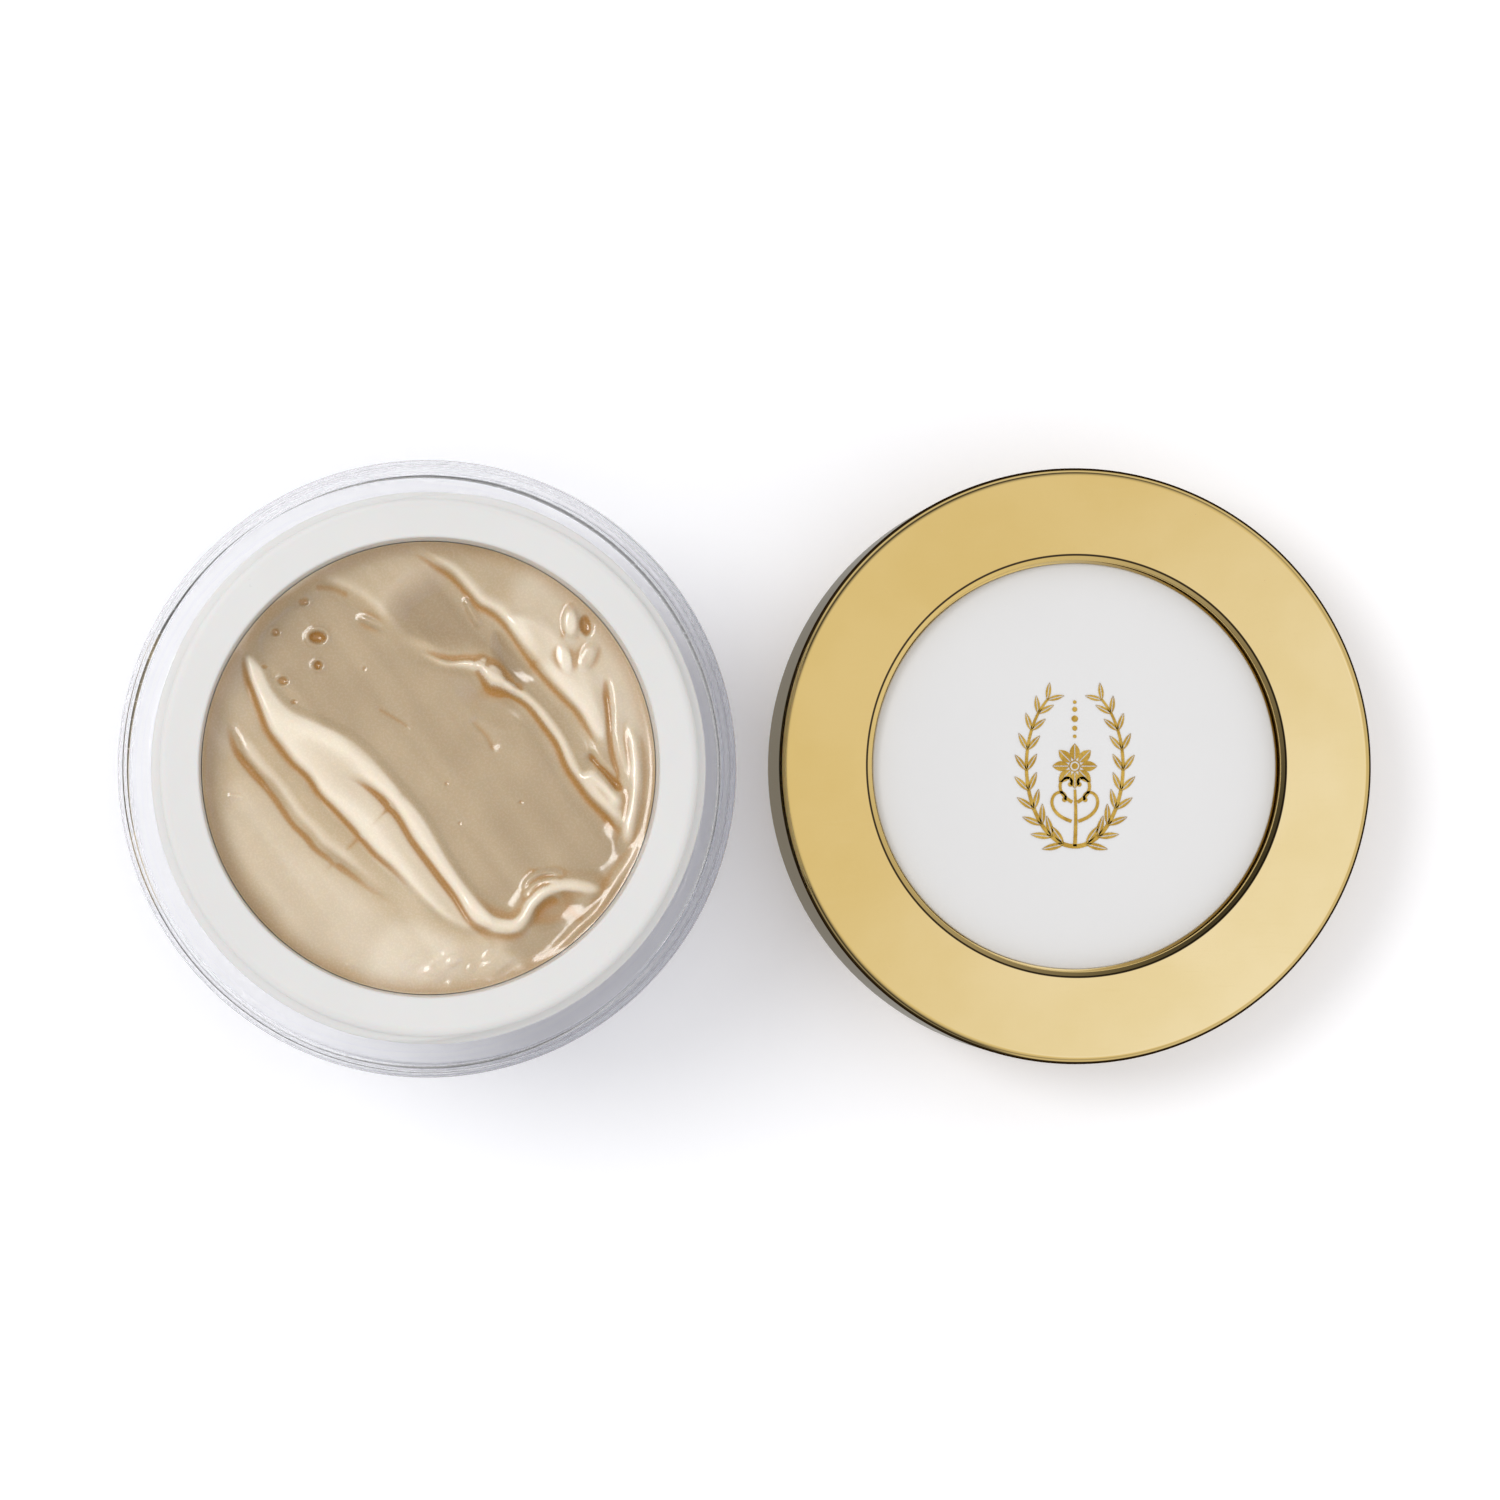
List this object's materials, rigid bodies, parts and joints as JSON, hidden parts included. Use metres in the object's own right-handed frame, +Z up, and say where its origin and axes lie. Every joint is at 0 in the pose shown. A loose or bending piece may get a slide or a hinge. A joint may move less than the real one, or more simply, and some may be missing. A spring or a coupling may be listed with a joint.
{
  "type": "cosmetic cream jar",
  "caption": "Round clear-walled cream jar with a white threaded inner cup full of beige cream, its gold screw lid with a white inset standing beside it.",
  "frame": {"origin": "centre of the jar's flat base, on the surface that the jar and the lid stand on", "axes": "+Z up along the jar's axis; +X from the jar towards the lid that stands beside it; +Y completes the right-handed frame"},
  "size_m": [0.1376, 0.0663, 0.048],
  "materials": {
    "clear_acrylic": "polished, thick and clear",
    "white_polypropylene": "moulded, satin",
    "beige_cream": "soft glossy cream with swirled strokes",
    "mirror_gold": "vacuum-metallised mirror gold",
    "satin_white": "fine satin",
    "foam_white": "fine closed-cell foam",
    "adhesive": "double-sided adhesive sheet",
    "gold_foil": "hot-stamped gold foil"
  },
  "bodies": {
    "jar": {"outer_jar": "clear_acrylic", "inner_cup": "white_polypropylene", "cream_fill": "beige_cream"},
    "liner": {"lid_liner": "foam_white"},
    "lid": {"lid_shell": "mirror_gold", "lid_inner_cap": "white_polypropylene", "inset_adhesive_pad": "adhesive", "lid_inset_disc": "satin_white", "foil_ornament": "gold_foil"}
  },
  "joints": [
    {"name": "lid_lift", "type": "slide", "parent": "jar", "child": "liner", "axis": [0, 0, 1], "range_m": [0, 0.06]},
    {"name": "lid_turn", "type": "hinge", "parent": "liner", "child": "lid", "pos_m": [0.072, 0.0007, 0], "axis": [0, 0, 1], "continuous": true}
  ]
}
